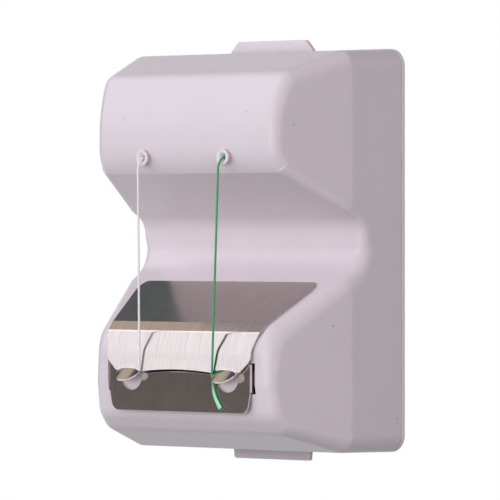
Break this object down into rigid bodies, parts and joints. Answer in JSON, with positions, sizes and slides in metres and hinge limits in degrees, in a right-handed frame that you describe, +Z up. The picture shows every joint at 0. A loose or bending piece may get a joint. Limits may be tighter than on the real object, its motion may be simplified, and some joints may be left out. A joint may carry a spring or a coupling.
{
  "type": "wall-mounted dental floss dispenser",
  "caption": "Wall-mounted dispenser for spools of dental floss: a latched cover over a wall plate, feed eyelets, and a bent steel cutter plate with pull-and-cut tongues.",
  "frame": {"origin": "centre of the wall plate's back face, which is the middle of the screw hole pattern and lies half way up the cover", "axes": "+X right, as seen by someone facing the dispenser; -Y forwards, away from the wall; +Z up. The wall is the plane Y = 0"},
  "size_m": [0.159, 0.0894, 0.2138],
  "materials": {
    "cover_plastic": "moulded, low gloss, off-white",
    "plate_plastic": "moulded, matt, off-white",
    "inner_plastic": "moulded, matt, white",
    "eyelet_plastic": "smooth, low friction, white",
    "stainless_sheet": "finely brushed stainless sheet",
    "spring_steel": "plain",
    "zinc_steel": "zinc plated",
    "floss_white": "waxed thread, white",
    "floss_green": "waxed thread, mint green"
  },
  "bodies": {
    "wall_plate": {"wall_plate": "plate_plastic", "latch_keeper_top": "plate_plastic", "latch_keeper_bottom": "plate_plastic", "keeper_screws": "zinc_steel", "latch_spring_top": "spring_steel", "latch_spring_bottom": "spring_steel"},
    "cover": {"cover": "cover_plastic", "spool_frame": "inner_plastic", "frame_screws": "zinc_steel", "spool_axle": "zinc_steel", "axle_clips": "spring_steel", "spool_spacer": "inner_plastic", "drag_washer_left": "spring_steel", "drag_washer_right": "spring_steel", "eyelet_left": "eyelet_plastic", "eyelet_right": "eyelet_plastic", "eyelet_ring_left": "spring_steel", "eyelet_ring_right": "spring_steel", "cutter_plate": "stainless_sheet", "plate_clip_left": "spring_steel", "plate_clip_right": "spring_steel", "floss_strand_white": "floss_white", "floss_strand_green": "floss_green"},
    "latch_top": {"latch_top": "cover_plastic"},
    "latch_bottom": {"latch_bottom": "cover_plastic"},
    "spool_left": {"spool_left": "inner_plastic", "floss_roll_left": "floss_white"},
    "spool_right": {"spool_right": "inner_plastic", "floss_roll_right": "floss_green"}
  },
  "joints": [
    {"name": "cover_slide", "type": "slide", "parent": "wall_plate", "child": "cover", "axis": [0, -1, 0], "range_m": [0, 0.06]},
    {"name": "latch_top_press", "type": "slide", "parent": "wall_plate", "child": "latch_top", "axis": [0, 0, -1], "range_m": [0, 0.003], "stiffness_N_per_m": 500, "springref_m": -0.006, "deforming": ["latch_spring_top"]},
    {"name": "latch_bottom_press", "type": "slide", "parent": "wall_plate", "child": "latch_bottom", "axis": [0, 0, 1], "range_m": [0, 0.003], "stiffness_N_per_m": 500, "springref_m": -0.006, "deforming": ["latch_spring_bottom"]},
    {"name": "spool_left_spin", "type": "hinge", "parent": "cover", "child": "spool_left", "pos_m": [-0.0285, -0.0496, 0.0615], "axis": [1, 0, 0], "continuous": true},
    {"name": "spool_right_spin", "type": "hinge", "parent": "cover", "child": "spool_right", "pos_m": [0.0285, -0.0496, 0.0615], "axis": [1, 0, 0], "continuous": true}
  ]
}
